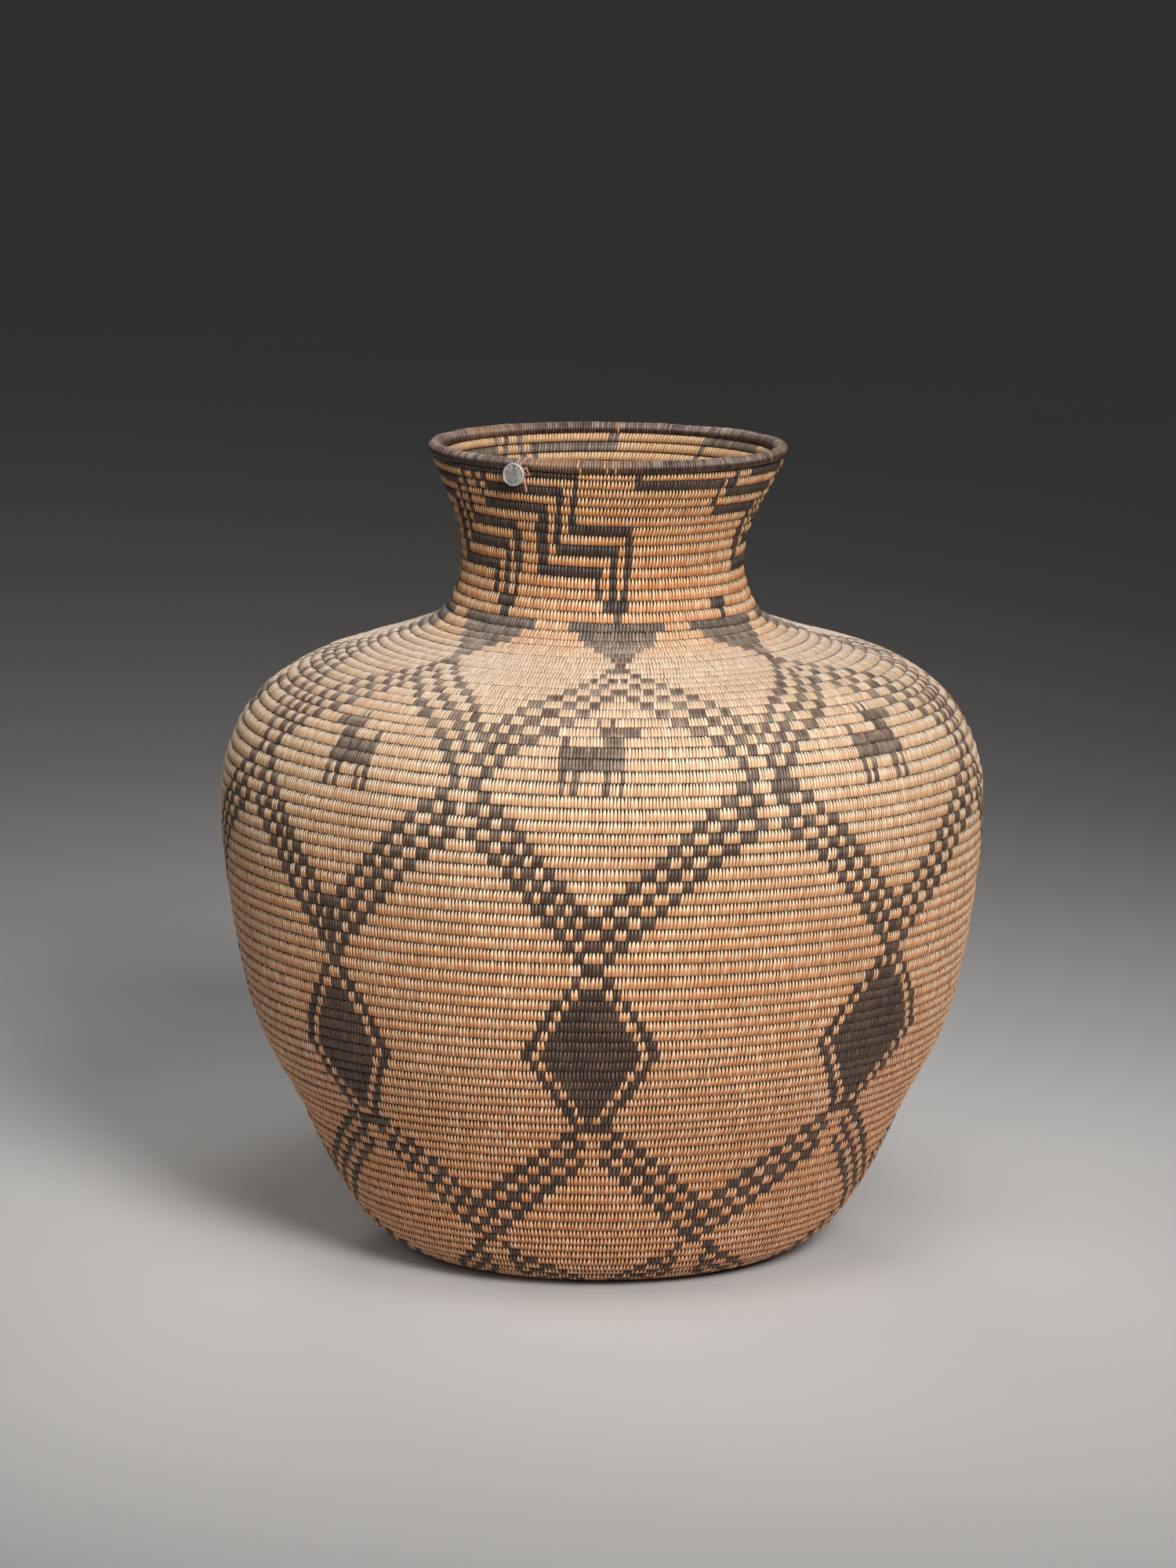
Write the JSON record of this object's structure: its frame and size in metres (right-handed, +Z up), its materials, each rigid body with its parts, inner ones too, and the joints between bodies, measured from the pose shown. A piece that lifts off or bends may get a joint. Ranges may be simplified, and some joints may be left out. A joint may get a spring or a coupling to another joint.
{
  "type": "coiled basketry jar",
  "caption": "Large coiled basketry jar with a flat base, full body, low shoulder, narrow flaring neck and wrapped rim, and a small seal hung from the rim on a thread.",
  "frame": {"origin": "centre of the flat base, on the surface that the jar stands on", "axes": "+Z up through the mouth; -Y is the front, with the seal to its left; +X is to the right of someone facing the front"},
  "size_m": [0.3747, 0.3748, 0.3997],
  "materials": {
    "coil": "satin",
    "rim": "satin",
    "lead": "matt",
    "thread": "matt",
    "red_thread": "matt"
  },
  "bodies": {
    "basket": {"start_knot": "coil", "base_courses": "coil", "heel_courses": "coil", "lower_wall_courses": "coil", "middle_wall_courses": "coil", "belly_courses": "coil", "shoulder_courses": "coil", "collar_courses": "coil", "neck_courses": "coil", "mouth_courses": "coil", "rim_coil": "rim"},
    "thread": {"seal_thread": "thread"},
    "seal": {"lead_seal": "lead", "thread_tail_tan": "thread", "thread_tail_red": "red_thread"}
  },
  "joints": [
    {"name": "thread_swing", "type": "hinge", "parent": "basket", "child": "thread", "pos_m": [-0.0352, -0.0751, 0.3953], "axis": [-0.891, 0.454, 0.0093], "range_deg": [0, 80]},
    {"name": "seal_turn", "type": "hinge", "parent": "thread", "child": "seal", "pos_m": [-0.0382, -0.0789, 0.3949], "axis": [-0.454, -0.891, 0.0048], "range_deg": [-15, 60], "deforming": ["seal_thread"]}
  ]
}
